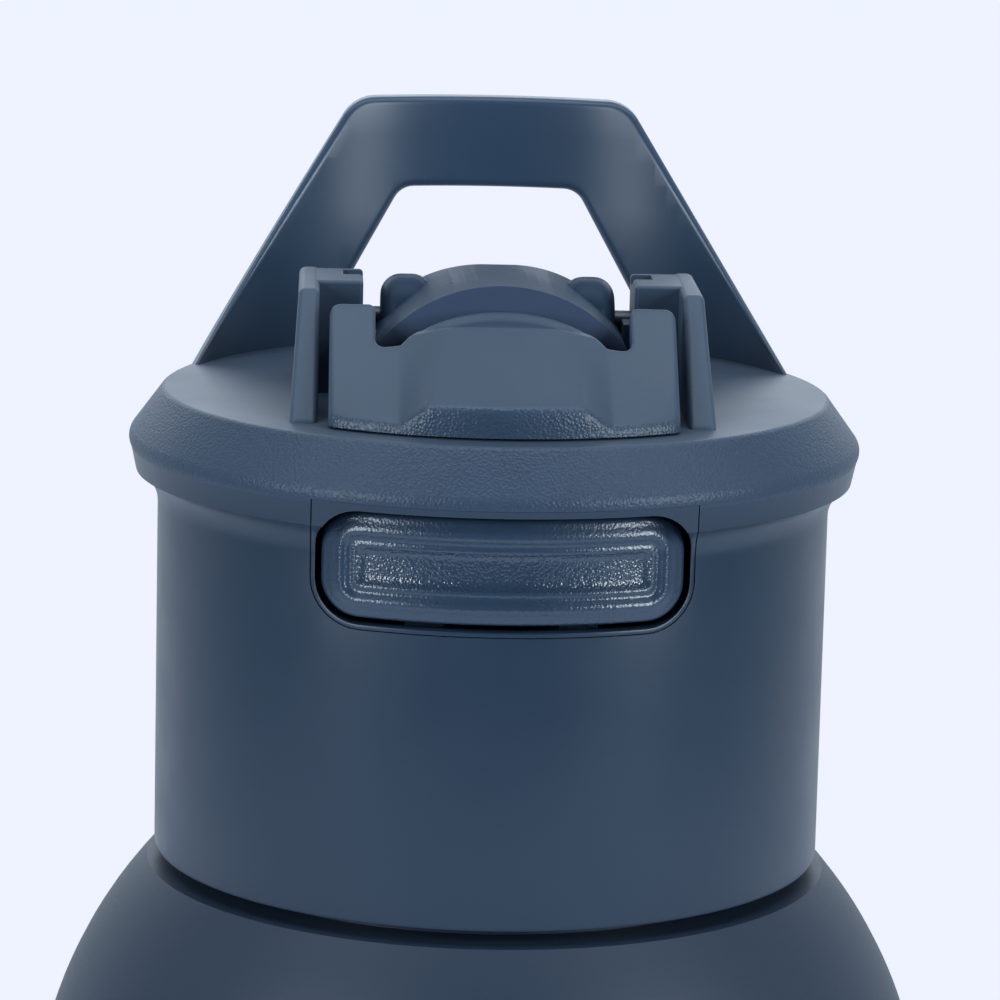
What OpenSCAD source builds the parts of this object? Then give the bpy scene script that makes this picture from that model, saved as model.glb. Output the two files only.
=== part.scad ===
// Insulated water jug with a screw lid, a push-button flip cover and a fixed carry handle.
// Millimetres. The origin is the middle of the base, +Z is up and -Y is the button's side.

/* [Jug] */
// Outside diameter of the body
body_od = 120; // [100:1:150]
// Height of the middle of the domed shoulder above the base
wall_h = 170.4; // [120:0.1:240]
// Sheet thickness of the outer shell
shell_t = 1; // [0.8:0.1:1.4]
// Sheet thickness of the inner liner
liner_t = 0.8; // [0.6:0.1:1.2]
// Vacuum gap between the shell and the liner
vacuum_gap = 4; // [3.5:0.1:6]
// Radius of the foot's rounded edge
foot_r = 6; // [3:0.5:9]
// Height of the neck above the shoulder
neck_h = 26; // [22:0.5:32]

/* [Thread] */
// Rise of the lid in one turn
thread_pitch = 5; // [4:0.25:6]
// Turns of thread on the neck and in the lid
thread_turns = 1.25; // [1:0.25:1.5]
// Height of the neck's thread ridge
thread_depth = 1.2; // [1:0.1:1.5]

/* [Lid] */
// Outside diameter of the lid's skirt
lid_od = 88; // [73:0.5:106]
// Height of the lid from the skirt's edge to the deck
lid_h = 61.2; // [58:0.1:74]
// Wall thickness of the lid
lid_t = 2.4; // [2:0.1:2.9]
// How far the flared rim stands out from the skirt
flare_out = 3.8; // [2.5:0.1:5]
// Gap between the skirt and the jug's shoulder
lid_gap = 1.9; // [1:0.1:3]

/* [Button] */
// Width of the push button
button_w = 44.9; // [37:0.1:54]
// Height of the push button
button_h = 13.4; // [11:0.1:16.2]
// Gap all round the push button
button_gap = 0.8; // [0.6:0.1:1.2]
// Travel of the push button
button_travel = 2.5; // [1.5:0.1:3]

/* [Cover] */
// Width of the flip cover
cover_w = 43.8; // [41:0.1:53]
// Slope of the flip cover's front plate, in degrees
cover_slope = 34.4; // [32:0.1:38]
// Thickness of the flip cover's plate
cover_t = 3; // [2.4:0.1:3.4]
// Width of the spout hood
hood_w = 31.6; // [28:0.1:32]
// Radius of the hood's arched roof
hood_arch_r = 20; // [17:0.5:24]
// Wall thickness of the hood
hood_t = 2; // [1.5:0.1:2.2]
// Diameter of the hinge pins
pin_d = 3; // [2.5:0.1:3.6]

/* [Handle] */
// Height of the carry handle above the deck
handle_h = 33.8; // [29:0.1:42]
// Thickness of the carry handle's curved wall
handle_t = 4.4; // [3.5:0.1:5]
// Height of the carry handle's top bar
handle_bar = 12.5; // [10:0.1:15]

/* [Straw] */
// Outside diameter of the straw
straw_od = 9.2; // [8:0.1:11]
// Gap between the straw and the floor of the jug
straw_lift = 8; // [4:0.5:15]

/* [Hidden] */
$fn = 96;
eps = 0.01;
slate = "#2f3f54";
slate_light = "#64748b";
steel = "#b9bdc2";
silicone = "#3b4a5c";

// Jug
body_r = body_od / 2;
lid_r = lid_od / 2;
shoulder_r = lid_r + 1;
shoulder_z = wall_h + sqrt(pow(body_r, 2) - pow(shoulder_r, 2));
lid_z = shoulder_z + lid_gap;
lip_z = shoulder_z + neck_h;
lid_bore_r = lid_r - lid_t;
insert_wall = 1.6;
insert_gap = 0.3;
insert_bore_r = lid_bore_r - insert_gap - insert_wall;
thread_clear = 0.3;
neck_r = insert_bore_r - thread_clear - thread_depth;
neck_seam = 0.4;
liner_neck_r = neck_r - shell_t - neck_seam;
liner_r = body_r - shell_t - vacuum_gap;
liner_dome_gap = 1.2;
liner_dome_z = shoulder_z - shell_t - liner_dome_gap - sqrt(pow(liner_r, 2) - pow(liner_neck_r, 2));
base_seat_r = body_r - foot_r - 6;
cup_flange = 3;
liner_floor_z = 2 * shell_t + vacuum_gap;
thread_root = 2.2;
thread_tip = 1.2;
thread_below_lip = 6;
thread_z = lip_z - thread_below_lip - thread_pitch * thread_turns;

// Lid
deck_z = lid_z + lid_h;
flare_r = lid_r + flare_out;
flare_z = deck_z - 6.6;
flare_round = 2;
band_angle = 36.4;
cove_r = 5;
cove_drop = 8.6;
deck_r = flare_r - flare_round + flare_round * cos(band_angle)
         - (deck_z - flare_z - flare_round * sin(band_angle)) * tan(band_angle);
gasket_h = 3;
diaphragm_z = lip_z + gasket_h;
diaphragm_t = 2;
insert_top = diaphragm_z + diaphragm_t;

// Button
button_z = deck_z - 15.6;
button_corner = 4.6;
button_proud = 0.5;
button_t = 3.2;
button_face_r = lid_r + button_proud;
dish_in = 4.4;
dish_deep = 1.2;
dish_corner = 1.2;
bezel_w = 0.5;
bezel_top = flare_z - 0.6;
seam = 0.1;
slide_w = 20;
slide_y = -(lid_r - 7);
slide_t = 2;
slide_h = 9;
slide_play = 0.2;
slide_low = button_z - slide_h / 2;
spring_l = 8;
spring_x = 6.8;
spring_r = 2.2;
spring_wire = 0.6;
spring_post = 1.6;
rail_w = 1.8;

// Cover and hood
lip_r = deck_r - 4.2;
lip_y = -(deck_r - 7);
plate_low_z = deck_z + 1.1;
hood_y = lip_y + 18.6;
pivot_y = hood_y + 19.3;
pivot_z = deck_z + 8.8;
knuckle_r = 7.3;
hood_top = pivot_z + knuckle_r;
hood_bottom = deck_z + 0.8;
knuckle_in = 9;
pin_clear = 0.05;
pin_in = 4.5;
cover_low = deck_z + 0.3;
plate_l = (hood_y - lip_y) / cos(cover_slope) - 0.15;
plate_front = -6;
plate_arch_top = plate_l - 1.1;
plate_arch_r = hood_arch_r - 3.4;
notch_low = plate_l - 7.9;
notch_r = 1.4;
tongue_top_w = 14.6;
tongue_nose_w = 20;
tongue_nose_h = 2.7;
tongue_base_w = 26.2;
tongue_l = plate_l - 7;
catch_y = -(lip_r - 4.8);
catch_w = 8;
catch_t = 1.2;
catch_low = deck_z - 4.7;
hook_gap = 0.2;
hook_t = 2;
hook_y = catch_y + 3.6;

// Ears
ear_gap = 1.3;
ear_in = cover_w / 2 + ear_gap;
ear_t = 3.6;
ear_skin = 1.2;
ear_round = 4;
ear_top = deck_z + 14.8;
pin_slot_w = 3.6;
pin_slot_l = 4;
ear_slope = 45;
ear_foot_y = 1.2 - sqrt(pow(lip_r, 2) - pow(ear_in + ear_t / 2, 2));
boss_in = hood_w / 2 + 1.8;
boss_front = pivot_y - 7.5;
boss_back = pivot_y + 8.1;

// Handle
handle_r = flare_r - 1.4;
handle_root_z = flare_z + 2.2;
handle_top_z = deck_z + handle_h;

// Spout and straw
spout_y = pivot_y - 8.7;
spout_w = 16;
spout_d = 9;
roof_r = hood_arch_r - hood_t;
spout_top = hood_top - hood_arch_r + sqrt(pow(roof_r, 2) - pow(spout_w / 2 + 0.5, 2)) - 0.4;
stem_r = 4.5;
spout_bore_r = 2.6;
socket_h = 16;
socket_wall = 2;
straw_r = straw_od / 2;
straw_t = 1;
nipple_l = 9;
collar_t = 1.8;
spout_bore_in = 2.2;
spout_flange = 1.5;
vent_y = 16;
vent_hole_r = 1.5;

// Points on an arc from angle a0 to a1
function arc(cx, cy, r, a0, a1, n = 8) =
    [for (i = [0:n]) let (a = a0 + (a1 - a0) * i / n) [cx + r * cos(a), cy + r * sin(a)]];

// Rectangle with round corners, centred
module round_rect(w, h, r) {
    square([w - 2 * r, h], center = true);
    square([w, h - 2 * r], center = true);
    for (x = [-1, 1], y = [-1, 1])
        translate([x * (w / 2 - r), y * (h / 2 - r)]) circle(r, $fn = 48);
}

// Slot shape with round ends, centred
module stadium(w, d) {
    square([w - d, d], center = true);
    for (x = [-1, 1]) translate([x * (w - d) / 2, 0]) circle(d / 2, $fn = 48);
}

// Extrude an x-z outline along +Y from y0 by l
module along_y(y0, l) {
    translate([0, y0 + l, 0]) rotate([90, 0, 0]) linear_extrude(l) children();
}

// Extrude a y-z outline along +X from x0 by l
module along_x(x0, l) {
    translate([x0, 0, 0]) rotate([90, 0, 90]) linear_extrude(l) children();
}

// Wire swept along a list of points, with ref never along the wire
module wire(path, r, ref, sides = 8) {
    n = len(path);
    function tangent(i) = let (d = path[min(i + 1, n - 1)] - path[max(i - 1, 0)]) d / norm(d);
    function ring(i) = let (t = tangent(i), u0 = cross(t, ref), u = u0 / norm(u0), v = cross(t, u))
        [for (k = [0:sides - 1]) path[i] + r * (u * cos(360 * k / sides) + v * sin(360 * k / sides))];
    points = [for (i = [0:n - 1], p = ring(i)) p];
    walls = [for (i = [0:n - 2], k = [0:sides - 1])
        let (a = i * sides + k, b = i * sides + (k + 1) % sides) [a, a + sides, b + sides, b]];
    first = [for (k = [0:sides - 1]) k];
    last = [for (k = [sides - 1:-1:0]) (n - 1) * sides + k];
    polyhedron(points, concat(walls, [first, last]), convexity = 10);
}

// Screw ridge between radii root_r and tip_r, rising anticlockwise from z
module ridge(root_r, tip_r, z) {
    steps = round(36 * thread_turns);
    function section(i) = let (a = 360 * thread_turns * i / steps, h = z + thread_pitch * thread_turns * i / steps,
                               fade = min(1, (0.5 + min(i, steps - i)) / 4))
        [for (c = [[root_r, -thread_root / 2], [tip_r, -thread_tip / 2 * fade],
                   [tip_r, thread_tip / 2 * fade], [root_r, thread_root / 2]])
            [c[0] * cos(a), c[0] * sin(a), h + c[1]]];
    points = [for (i = [0:steps], p = section(i)) p];
    outward = tip_r > root_r;
    walls = [for (i = [0:steps - 1], k = [0:3]) let (a = i * 4 + k, b = i * 4 + (k + 1) % 4)
        outward ? [a, b, b + 4, a + 4] : [a, a + 4, b + 4, b]];
    first = outward ? [3, 2, 1, 0] : [0, 1, 2, 3];
    last = [for (k = outward ? [0, 1, 2, 3] : [3, 2, 1, 0]) steps * 4 + k];
    polyhedron(points, concat(walls, [first, last]), convexity = 10);
}

// Double-walled steel body, shell half, with its rolled neck thread
module outer_shell() {
    dome_top = asin((shoulder_z - wall_h) / body_r);
    in_r = body_r - shell_t;
    in_top = asin((shoulder_z - shell_t - wall_h) / in_r);
    color(slate) union() {
        rotate_extrude($fn = 160) polygon(concat(
            [[base_seat_r, 0]],
            arc(body_r - foot_r, foot_r, foot_r, -90, 0),
            arc(0, wall_h, body_r, 0, dome_top, 24),
            [[neck_r, shoulder_z], [neck_r, lip_z - liner_t],
             [neck_r - shell_t, lip_z - liner_t], [neck_r - shell_t, shoulder_z - shell_t]],
            arc(0, wall_h, in_r, in_top, 0, 24),
            arc(body_r - foot_r, foot_r, foot_r - shell_t, 0, -90),
            [[base_seat_r, shell_t]]));
        ridge(neck_r - 0.5, neck_r + thread_depth, thread_z);
    }
}

// Pressed steel cup that closes the shell's foot
module base_cup() {
    rim_r = base_seat_r + cup_flange;
    rim_z = shell_t + cup_flange;
    color(steel) rotate_extrude($fn = 160) polygon([[0, shell_t], [rim_r, shell_t], [rim_r, rim_z],
        [rim_r - shell_t, rim_z], [rim_r - shell_t, 2 * shell_t], [0, 2 * shell_t]]);
}

// Getter pellet that keeps the vacuum, sealed between the two floors
module getter_button() {
    color("dimgray") translate([0, 0, 2 * shell_t]) cylinder(d = 12, h = 2);
}

// Inner steel vessel with its rolled drinking lip
module inner_liner() {
    corner = 10;
    in_r = liner_r - liner_t;
    in_neck_r = liner_neck_r - liner_t;
    color(steel) rotate_extrude($fn = 160) polygon(concat(
        [[0, liner_floor_z]],
        arc(liner_r - corner, liner_floor_z + corner, corner, -90, 0),
        arc(0, liner_dome_z, liner_r, 0, acos(liner_neck_r / liner_r), 24),
        [[liner_neck_r, lip_z - liner_t], [neck_r, lip_z - liner_t], [neck_r, lip_z], [in_neck_r, lip_z]],
        arc(0, liner_dome_z, in_r, acos(in_neck_r / in_r), 0, 24),
        arc(liner_r - corner, liner_floor_z + corner, corner - liner_t, 0, -90),
        [[0, liner_floor_z + liner_t]]));
}

// Solid outside form of the lid, without its ears
module lid_form() {
    rotate_extrude($fn = 160) polygon(concat(
        [[0, lid_z], [lid_r - 0.5, lid_z], [lid_r, lid_z + 0.5]],
        arc(lid_r + cove_r, flare_z - cove_drop, cove_r, 180, 115),
        arc(flare_r - flare_round, flare_z, flare_round, -30, band_angle),
        [[deck_r, deck_z], [0, deck_z]]));
}

// Side outline of one ear, in the y-z plane
module ear_outline() {
    polygon(concat(
        [[boss_back, deck_z - lid_t / 2], [ear_foot_y, deck_z - lid_t / 2], [ear_foot_y, deck_z]],
        arc(ear_foot_y + (ear_top - deck_z) / tan(ear_slope) + 1, ear_top - 1, 1, 90 + ear_slope, 90, 4),
        arc(boss_back - ear_round, ear_top - ear_round, ear_round, 90, 0)));
}

// Front opening of the skirt: the bezel's outline, grown by grow
module bezel_outline(grow) {
    w = button_w + 2 * (button_gap + bezel_w + grow);
    low = button_z - button_h / 2 - button_gap - bezel_w - grow;
    r = button_corner + button_gap + bezel_w + grow;
    translate([-w / 2, low + r]) square([w, bezel_top + grow - low - r]);
    translate([-w / 2 + r, low]) square([w - 2 * r, r + eps]);
    for (x = [-1, 1]) translate([x * (w / 2 - r), low + r]) circle(r, $fn = 64);
}

// Outline of the hole that the button moves in
module button_hole() {
    translate([0, button_z])
        round_rect(button_w + 2 * button_gap, button_h + 2 * button_gap, button_corner + button_gap);
}

// Outline of the carry handle, in the x-z plane
module handle_outline() {
    round_r = 5;
    lean = 0.674;
    top_x = 17.5;
    foot_x = top_x + lean * (handle_top_z - handle_root_z);
    gap_round_r = 3;
    gap_top = handle_top_z - handle_bar;
    gap_x = 12.2;
    gap_lean = 0.56;
    gap_foot = gap_x + gap_lean * (gap_top - handle_root_z + 1);
    difference() {
        union() {
            polygon([[-foot_x, handle_root_z], [foot_x, handle_root_z],
                     [top_x + lean * round_r, handle_top_z - round_r], [top_x - 1.5, handle_top_z],
                     [1.5 - top_x, handle_top_z], [-top_x - lean * round_r, handle_top_z - round_r]]);
            for (x = [-1, 1]) translate([x * (top_x - 1.4), handle_top_z - round_r]) circle(round_r, $fn = 48);
        }
        polygon([[-gap_foot, handle_root_z - 1], [gap_foot, handle_root_z - 1],
                 [gap_x + gap_lean * gap_round_r, gap_top - gap_round_r], [gap_x - 2, gap_top],
                 [2 - gap_x, gap_top], [-gap_x - gap_lean * gap_round_r, gap_top - gap_round_r]]);
        for (x = [-1, 1]) translate([x * (gap_x - 1.75), gap_top - gap_round_r]) circle(gap_round_r, $fn = 48);
    }
}

// Curved wall of the carry handle, standing on the rear of the rim
module handle_form() {
    intersection() {
        along_y(10, flare_r) handle_outline();
        difference() {
            cylinder(r = handle_r, h = handle_top_z + 1, $fn = 160);
            translate([0, 0, -1]) cylinder(r = handle_r - handle_t, h = handle_top_z + 3, $fn = 160);
        }
    }
}

// Skirt, flared rim and deck in one moulding, with the two ears that carry the hinge
module lid_shell() {
    color(slate) difference() {
        union() {
            difference() {
                lid_form();
                translate([0, 0, lid_z - 1]) cylinder(r = lid_bore_r, h = lid_h - lid_t + 1, $fn = 160);
            }
            for (m = [0, 1]) mirror([m, 0, 0]) {
                along_x(ear_in, ear_t) ear_outline();
                translate([boss_in, boss_front, deck_z - eps])
                    cube([ear_in - boss_in + eps, boss_back - ear_round - boss_front, ear_top - deck_z + eps]);
            }
        }
        handle_form();
        along_y(-flare_r - 1, flare_r - 20) bezel_outline(seam);
        for (m = [0, 1]) mirror([m, 0, 0]) {
            translate([boss_in - 1, pivot_y, pivot_z]) rotate([0, 90, 0])
                cylinder(d = pin_d, h = ear_in + ear_t - ear_skin - boss_in + 1, $fn = 48);
            translate([boss_in - 1, boss_front + 6, ear_top - ear_skin]) cube([pin_slot_w, pin_slot_l, 3]);
        }
        translate([0, spout_y, deck_z - lid_t - 1]) cylinder(r = stem_r + 0.1, h = lid_t + 2, $fn = 64);
        translate([-catch_w / 2 - 1, catch_y - 1.9, deck_z - lid_t - 1])
            cube([catch_w + 2, hook_y + hook_t + button_travel + 0.4 - catch_y + 1.9, lid_t + 2]);
    }
}

// Carry handle, seated in the rear of the rim
module carry_handle() {
    color(slate) handle_form();
}

// Threaded insert welded in the skirt, with the wall that backs the button's springs
module lid_liner() {
    low = lid_z + 3;
    post_y = slide_y + slide_t + spring_l;
    post_x = catch_w / 2 + slide_play;
    rail_x = slide_w / 2 + slide_play;
    rail_y = button_travel + slide_play - sqrt(pow(button_face_r - button_t, 2) - pow(rail_x + rail_w, 2));
    shelf_w = 3;
    color(slate_light) difference() {
        union() {
            difference() {
                union() {
                    translate([0, 0, low])
                        cylinder(r = lid_bore_r - insert_gap, h = diaphragm_z - low + eps, $fn = 160);
                    translate([0, 0, diaphragm_z - 1]) cylinder(r = lid_bore_r, h = diaphragm_t + 1, $fn = 160);
                }
                translate([0, 0, low - 1]) cylinder(r = insert_bore_r, h = diaphragm_z - low + 1, $fn = 160);
            }
            for (m = [0, 1]) mirror([m, 0, 0]) {
                translate([post_x, post_y, insert_top - eps])
                    cube([rail_x + eps - post_x, spring_post, button_z + 4 - insert_top]);
                translate([rail_x, rail_y, insert_top - eps])
                    cube([rail_w, post_y + spring_post - rail_y, button_z + 2 - insert_top]);
                translate([rail_x - shelf_w, rail_y, insert_top - eps])
                    cube([shelf_w + eps, post_y + spring_post - rail_y, slide_low - seam - insert_top + eps]);
            }
            translate([0, spout_y, insert_top - eps]) cylinder(r = stem_r + socket_wall, h = socket_h, $fn = 64);
            translate([0, spout_y, diaphragm_z - nipple_l])
                cylinder(r = straw_r, h = nipple_l + eps, $fn = 64);
            ridge(insert_bore_r + 0.6, insert_bore_r - 1, thread_z - thread_pitch / 2);
        }
        translate([0, spout_y, diaphragm_z - nipple_l - 1])
            cylinder(r = spout_bore_r, h = nipple_l + 3, $fn = 64);
        translate([0, spout_y, insert_top]) cylinder(r = stem_r, h = socket_h + 1, $fn = 64);
        translate([0, vent_y, diaphragm_z - 1]) cylinder(r = vent_hole_r, h = diaphragm_t + 2, $fn = 32);
    }
}

// Silicone ring that the lid presses on the drinking lip
module lid_gasket() {
    color(silicone) translate([0, 0, lip_z]) difference() {
        cylinder(r = neck_r, h = gasket_h, $fn = 128);
        translate([0, 0, -1]) cylinder(r = liner_neck_r - liner_t, h = gasket_h + 2, $fn = 128);
    }
}

// Surround of the push button, flush with the skirt and the rim
module button_bezel() {
    color(slate) difference() {
        intersection() {
            lid_form();
            along_y(-flare_r - 1, flare_r - 20) bezel_outline(0);
        }
        translate([0, 0, lid_z]) cylinder(r = lid_bore_r, h = lid_h, $fn = 160);
        along_y(-flare_r - 1, flare_r - 20) button_hole();
    }
}

// Push button: a curved cap with a raised bead and a sunken thumb floor
module push_button() {
    color(slate) {
        difference() {
            intersection() {
                along_y(-button_face_r - 1, button_face_r) translate([0, button_z])
                    round_rect(button_w, button_h, button_corner);
                difference() {
                    cylinder(r = button_face_r, h = deck_z, $fn = 160);
                    translate([0, 0, -1]) cylinder(r = button_face_r - button_t, h = deck_z + 2, $fn = 160);
                }
            }
            intersection() {
                along_y(-button_face_r - 1, button_face_r) translate([0, button_z])
                    round_rect(button_w - 2 * dish_in, button_h - 2 * dish_in, dish_corner);
                difference() {
                    cylinder(r = button_face_r + 1, h = deck_z, $fn = 160);
                    translate([0, 0, -1]) cylinder(r = button_face_r - dish_deep, h = deck_z + 2, $fn = 160);
                }
            }
        }
        intersection() {
            for (x = [-spring_x, spring_x])
                translate([x - 2, -button_face_r, button_z - 3]) cube([4, button_face_r + slide_y, 6]);
            cylinder(r = button_face_r - button_t + eps, h = deck_z, $fn = 160);
        }
    }
}

// Slide behind the button, with the hook that holds the cover shut
module latch_slide() {
    hook_w = catch_w - 1;
    hook_top = deck_z - 1.8;
    barb_y = catch_y + 2 * catch_t - seam + hook_gap;
    arm_z = slide_low + 1;
    color(silicone) {
        translate([-slide_w / 2, slide_y, slide_low]) cube([slide_w, slide_t, slide_h]);
        translate([-hook_w / 2, slide_y + slide_t - eps, arm_z])
            cube([hook_w, hook_y + hook_t - slide_y - slide_t + eps, 2 * hook_t]);
        translate([-hook_w / 2, hook_y, arm_z]) cube([hook_w, hook_t, hook_top - arm_z]);
        translate([-hook_w / 2, barb_y, hook_top - 1.4]) cube([hook_w, hook_y - barb_y + eps, 1.4]);
    }
}

// Pair of coil springs that return the button
module button_springs() {
    turns = 6;
    steps = 14 * turns;
    y0 = slide_y + slide_t + spring_wire / 2;
    travel = spring_l - spring_wire;
    color(steel) for (x = [-spring_x, spring_x])
        wire([for (i = [0:steps]) let (a = 360 * turns * i / steps)
                [x + spring_r * cos(a), y0 + travel * i / steps, button_z + spring_r * sin(a)]],
             spring_wire / 2, [0, 1, 0], 6);
}

// Outline of the cover's plate on its own slope, with the arch and the two notches
module plate_outline() {
    notch_out = hood_w / 2 + 0.4;
    difference() {
        translate([-cover_w / 2, plate_front]) square([cover_w, plate_l - plate_front]);
        difference() {
            translate([-notch_out, notch_low + notch_r]) square([2 * notch_out, plate_l]);
            translate([0, plate_arch_top - plate_arch_r]) circle(plate_arch_r, $fn = 128);
        }
        for (x = [-1, 1]) translate([x * (notch_out - notch_r), notch_low + notch_r]) circle(notch_r, $fn = 32);
    }
}

// Lay children, drawn flat, on the cover's slope
module on_slope() {
    translate([0, lip_y, plate_low_z]) rotate([cover_slope, 0, 0]) children();
}

// Raised thumb tongue: its flanks widen to the plate and its nose overhangs the deck
module tongue() {
    hull() {
        on_slope() translate([-tongue_base_w / 2, 0, -0.5]) cube([tongue_base_w, tongue_l - 1, 0.5]);
        translate([-tongue_nose_w / 2, -lip_r, cover_low]) cube([tongue_nose_w, 1, tongue_nose_h]);
        on_slope() translate([-tongue_top_w / 2, tongue_l, -0.2]) cube([tongue_top_w, 0.1, 0.2]);
    }
}

// Sloping plate of the flip cover with its cheeks, thumb tongue and catch
module flip_cover() {
    color(slate_light) union() {
        difference() {
            intersection() {
                union() {
                    on_slope() translate([0, 0, -cover_t]) linear_extrude(cover_t) plate_outline();
                    tongue();
                }
                translate([0, 0, cover_low]) cylinder(r = lip_r, h = hood_top - cover_low, $fn = 160);
            }
            hood_form(0);
        }
        translate([-catch_w / 2, catch_y, catch_low]) cube([catch_w, catch_t, cover_low + eps - catch_low]);
        translate([-catch_w / 2, catch_y + catch_t - eps, catch_low])
            cube([catch_w, catch_t - seam + eps, catch_t]);
    }
}

// Side outline of the hood, shrunk by t, in the y-z plane
module hood_side(t) {
    low = hood_bottom - (t > 0 ? 1 : 0);
    polygon([[pivot_y, low], [hood_y + t, low], [hood_y + t, hood_top - t], [pivot_y, hood_top - t]]);
    translate([pivot_y, pivot_z]) circle(knuckle_r - t, $fn = 96);
}

// Arched form of the hood, shrunk by t
module hood_form(t) {
    intersection() {
        along_x(-hood_w / 2 + t, hood_w - 2 * t) hood_side(t);
        translate([0, hood_y - 1, hood_top - hood_arch_r]) rotate([-90, 0, 0])
            cylinder(r = hood_arch_r - t, h = 40, $fn = 160);
    }
}

// Glossy arched hood that closes over the spout, with its two hinge knuckles
module cover_hood() {
    far = 14;
    color("#4c5972") difference() {
        union() {
            difference() {
                hood_form(0);
                hood_form(hood_t);
                along_x(-hood_w / 2 + hood_t, hood_w - 2 * hood_t) polygon([
                    [pivot_y, pivot_z], [pivot_y + far * cos(30), pivot_z + far * sin(30)],
                    [pivot_y + far, hood_bottom - 1], [pivot_y, hood_bottom - 1]]);
            }
            for (m = [0, 1]) mirror([m, 0, 0])
                translate([knuckle_in, pivot_y, pivot_z]) rotate([0, 90, 0])
                    cylinder(r = knuckle_r - 0.5, h = hood_w / 2 - knuckle_in - 0.6, $fn = 96);
        }
        for (m = [0, 1]) mirror([m, 0, 0])
            translate([knuckle_in - 1, pivot_y, pivot_z]) rotate([0, 90, 0])
                cylinder(r = pin_d / 2 + pin_clear, h = hood_w, $fn = 48);
    }
}

// Silicone pad that closes the spout when the cover is shut, domed like the hood's roof
module cover_seal() {
    color(silicone) intersection() {
        translate([0, spout_y, spout_top])
            linear_extrude(hood_top - spout_top) stadium(spout_w + 1, spout_d + 1);
        hood_form(hood_t);
    }
}

// Two hinge pins
module hinge_pins() {
    color(steel) for (m = [0, 1]) mirror([m, 0, 0])
        translate([pin_in, pivot_y, pivot_z]) rotate([0, 90, 0])
            cylinder(d = pin_d, h = ear_in + ear_t - ear_skin - pin_in, $fn = 48);
}

// Spring on one hinge pin that lifts the cover
module torsion_spring() {
    turns = 3.5;
    coil_r = pin_d / 2 + 0.8;
    wire_r = 0.35;
    steps = 16 * turns;
    x0 = pin_in + 0.6;
    coil = [for (i = [0:steps]) let (a = 90 - 360 * turns * i / steps)
        [x0 + 3.2 * i / steps, pivot_y + coil_r * cos(a), pivot_z + coil_r * sin(a)]];
    roof_leg = [[x0, pivot_y - 3.3, pivot_z + 3.9], [x0, pivot_y - 1.6, pivot_z + 2.8]];
    deck_leg = [[x0 + 3.2, pivot_y - 1.6, pivot_z - 2.8], [x0 + 3.2, pivot_y - 2.4, pivot_z - 4],
                [x0 + 3.2, pivot_y - 2.6, deck_z + 0.4]];
    color(steel) wire(concat(roof_leg, coil, deck_leg), wire_r, [1, 0, 0], 8);
}

// Mouthpiece with its stem down to the insert
module spout() {
    color("#8d99aa") difference() {
        union() {
            translate([0, spout_y, deck_z]) linear_extrude(1.1)
                stadium(spout_w + 2 * spout_flange, spout_d + 2 * spout_flange);
            translate([0, spout_y, deck_z]) linear_extrude(spout_top - deck_z) stadium(spout_w, spout_d);
            translate([0, spout_y, insert_top]) cylinder(r = stem_r, h = deck_z - insert_top + eps, $fn = 64);
        }
        translate([0, spout_y, deck_z]) linear_extrude(spout_top)
            stadium(spout_w - 2 * spout_bore_in, spout_d - 4);
        translate([0, spout_y, insert_top - 1]) cylinder(r = spout_bore_r - 0.15, h = deck_z, $fn = 64);
    }
}

// Ring that seals the spout's stem on the insert's socket
module spout_seal() {
    color(silicone) translate([0, spout_y, insert_top + socket_h - eps]) difference() {
        cylinder(r = stem_r + socket_wall, h = 2, $fn = 64);
        translate([0, 0, -1]) cylinder(r = stem_r, h = 4, $fn = 64);
    }
}

// Straw, hanging from the collar to just above the floor
module straw() {
    low = liner_floor_z + liner_t + straw_lift;
    top = diaphragm_z - nipple_l;
    color("#dfe5ea") translate([0, spout_y, low]) difference() {
        cylinder(r = straw_r, h = top - low, $fn = 64);
        translate([0, 0, -1]) cylinder(r = straw_r - straw_t, h = top - low + 2, $fn = 64);
    }
}

// Silicone sleeve that joins the straw to the insert's nipple
module straw_collar() {
    color(silicone) translate([0, spout_y, diaphragm_z - 2 * nipple_l]) difference() {
        cylinder(r = straw_r + collar_t, h = 2 * nipple_l - 0.5, $fn = 64);
        translate([0, 0, -1]) cylinder(r = straw_r, h = 2 * nipple_l + 2, $fn = 64);
    }
}

// Umbrella valve that lets air in as water is drunk
module vent_valve() {
    skirt_t = 0.8;
    color(silicone) translate([0, vent_y, 0]) {
        translate([0, 0, diaphragm_z - skirt_t]) cylinder(r = 4, h = skirt_t, $fn = 48);
        translate([0, 0, diaphragm_z - eps]) cylinder(r = vent_hole_r, h = diaphragm_t + 2 * eps, $fn = 32);
        translate([0, 0, insert_top]) cylinder(r1 = vent_hole_r + 0.7, r2 = vent_hole_r, h = 1.6, $fn = 32);
    }
}

outer_shell();
base_cup();
getter_button();
inner_liner();
lid_shell();
carry_handle();
lid_liner();
lid_gasket();
button_bezel();
push_button();
latch_slide();
button_springs();
flip_cover();
cover_hood();
cover_seal();
hinge_pins();
torsion_spring();
spout();
spout_seal();
straw();
straw_collar();
vent_valve();
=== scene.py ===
"""Looks of the insulated jug: its lid, button, cover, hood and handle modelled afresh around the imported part.

Sizes in the makers below are millimetres. Heights are above the lid's foot, worked out from the bezel.
"""

import math

import bmesh
import bpy
from mathutils import Matrix, Vector


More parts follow.
